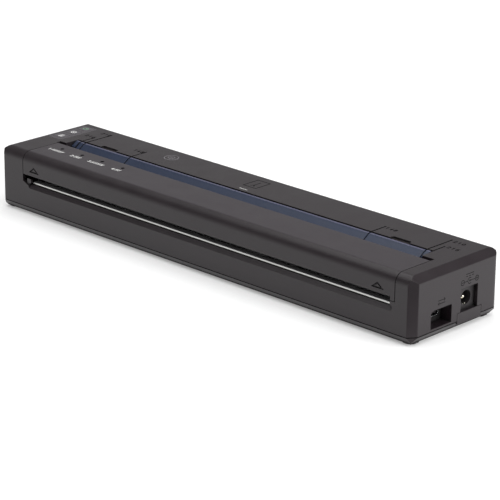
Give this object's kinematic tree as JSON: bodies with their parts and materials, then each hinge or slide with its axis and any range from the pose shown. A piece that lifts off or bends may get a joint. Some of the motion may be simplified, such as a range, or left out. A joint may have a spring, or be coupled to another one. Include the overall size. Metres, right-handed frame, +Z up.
{
  "type": "a4 portable thermal printer",
  "caption": "Slim page-wide portable thermal printer with a hinged release cover, a blue feed guide, a front paper exit with a tear bar, and keys at the left end.",
  "frame": {"origin": "middle of the case's footprint, on the table", "axes": "+X to the right end along the length, +Y from the paper exit to the back, +Z up"},
  "size_m": [0.255, 0.055, 0.03],
  "materials": {
    "case_plastic": "fine textured moulded ABS",
    "panel_plastic": "satin moulded plastic",
    "key_plastic": "satin moulded plastic",
    "guide_plastic": "satin navy blue plastic",
    "black_plastic": "moulded black plastic",
    "gear_plastic": "natural acetal",
    "bearing_plastic": "natural acetal",
    "circuit_board": "solder-masked glass epoxy",
    "connector_plastic": "nylon",
    "capacitor_sleeve": "shrunk plastic sleeve",
    "flat_cable": "polyimide film",
    "battery_wrap": "shrunk plastic sleeve",
    "cell_wrap": "shrunk plastic sleeve",
    "light_pipe": "smoked clear plastic",
    "led_resin": "clear resin",
    "rubber": "moulded rubber",
    "steel": "ground steel",
    "sheet_steel": "zinc plated sheet steel",
    "screw_steel": "black zinc plated steel",
    "blade_steel": "polished stainless steel",
    "aluminium": "extruded, mill finish",
    "motor_steel": "zinc plated steel",
    "brass": "turned",
    "spring_steel": "drawn wire",
    "ceramic": "glazed ceramic strip"
  },
  "bodies": {
    "case": {"upper_case": "case_plastic", "lower_case": "case_plastic", "feet": "rubber", "case_screws": "screw_steel", "button_panel": "panel_plastic", "key_board": "circuit_board", "key_switches": "sheet_steel", "key_board_screws": "screw_steel", "cover_hinge_pins": "steel", "guide_pins": "steel", "paper_chute": "black_plastic", "paper_sensor": "black_plastic", "chassis": "sheet_steel", "chassis_screws": "screw_steel", "platen_bearings": "bearing_plastic", "gear_posts": "steel", "gear_clips": "spring_steel", "motor_body": "motor_steel", "motor_screws": "screw_steel", "head_pivot": "steel", "head_springs": "spring_steel", "head_cable": "flat_cable", "tear_bar": "blade_steel", "main_board": "circuit_board", "board_chips": "black_plastic", "board_capacitors": "capacitor_sleeve", "board_connectors": "connector_plastic", "main_board_screws": "screw_steel", "io_board": "circuit_board", "usb_shell": "steel", "usb_tongue": "black_plastic", "usb_bezel": "black_plastic", "dc_jack": "black_plastic", "dc_jack_pin": "steel", "battery_cells": "cell_wrap", "battery_sleeve": "battery_wrap", "battery_terminals": "brass", "door_hinge_pins": "steel"},
    "cover": {"release_cover": "case_plastic", "led_board": "circuit_board", "led_chips": "led_resin", "light_pipes": "light_pipe"},
    "guide": {"feed_guide": "guide_plastic"},
    "platen": {"platen_shaft": "steel", "platen_rubber": "rubber", "platen_gear": "gear_plastic"},
    "idler": {"idler_gear": "gear_plastic"},
    "reduction": {"reduction_gear": "gear_plastic"},
    "rotor": {"motor_shaft": "steel", "motor_pinion": "brass"},
    "head": {"head_heat_sink": "aluminium", "head_strip": "ceramic"},
    "door": {"battery_door": "case_plastic"},
    "key_front": {"front_key": "key_plastic"},
    "key_middle": {"middle_key": "key_plastic"},
    "key_power": {"power_key": "key_plastic"}
  },
  "joints": [
    {"name": "cover_hinge", "type": "hinge", "parent": "case", "child": "cover", "pos_m": [0, -0.0248, 0.0208], "axis": [1, 0, 0], "range_deg": [0, 90]},
    {"name": "guide_hinge", "type": "hinge", "parent": "case", "child": "guide", "pos_m": [0, -0.0022, 0.0246], "axis": [1, 0, 0], "range_deg": [0, 60]},
    {"name": "platen_turn", "type": "hinge", "parent": "case", "child": "platen", "pos_m": [0, -0.015, 0.0217], "axis": [1, 0, 0], "continuous": true},
    {"name": "idler_turn", "type": "hinge", "parent": "case", "child": "idler", "pos_m": [0, -0.01237, 0.01147], "axis": [1, 0, 0], "continuous": true},
    {"name": "reduction_turn", "type": "hinge", "parent": "case", "child": "reduction", "pos_m": [0, -0.00405, 0.0135], "axis": [1, 0, 0], "continuous": true},
    {"name": "motor_turn", "type": "hinge", "parent": "case", "child": "rotor", "pos_m": [0, 0.008, 0.014], "axis": [1, 0, 0], "continuous": true},
    {"name": "head_tilt", "type": "hinge", "parent": "case", "child": "head", "pos_m": [0, -0.0086, 0.0114], "axis": [1, 0, 0], "range_deg": [0, 3], "stiffness_Nm_per_rad": 0.4, "springref_deg": -4.58, "deforming": ["head_springs", "head_cable"]},
    {"name": "door_hinge", "type": "hinge", "parent": "case", "child": "door", "pos_m": [0, 0.0262, 0.0053], "axis": [-1, 0, 0], "range_deg": [0, 90]},
    {"name": "front_key_press", "type": "slide", "parent": "case", "child": "key_front", "axis": [0, 0, -1], "range_m": [0, 0.00035], "stiffness_N_per_m": 800, "springref_m": -0.0003},
    {"name": "middle_key_press", "type": "slide", "parent": "case", "child": "key_middle", "axis": [0, 0, -1], "range_m": [0, 0.00035], "stiffness_N_per_m": 800, "springref_m": -0.0003},
    {"name": "power_key_press", "type": "slide", "parent": "case", "child": "key_power", "axis": [0, 0, -1], "range_m": [0, 0.00035], "stiffness_N_per_m": 800, "springref_m": -0.0003}
  ],
  "couplings": [
    {"joint": "idler_turn", "follows": "platen_turn", "ratio": -1.1},
    {"joint": "reduction_turn", "follows": "platen_turn", "ratio": 1.5714},
    {"joint": "motor_turn", "follows": "platen_turn", "ratio": -4.7143}
  ]
}
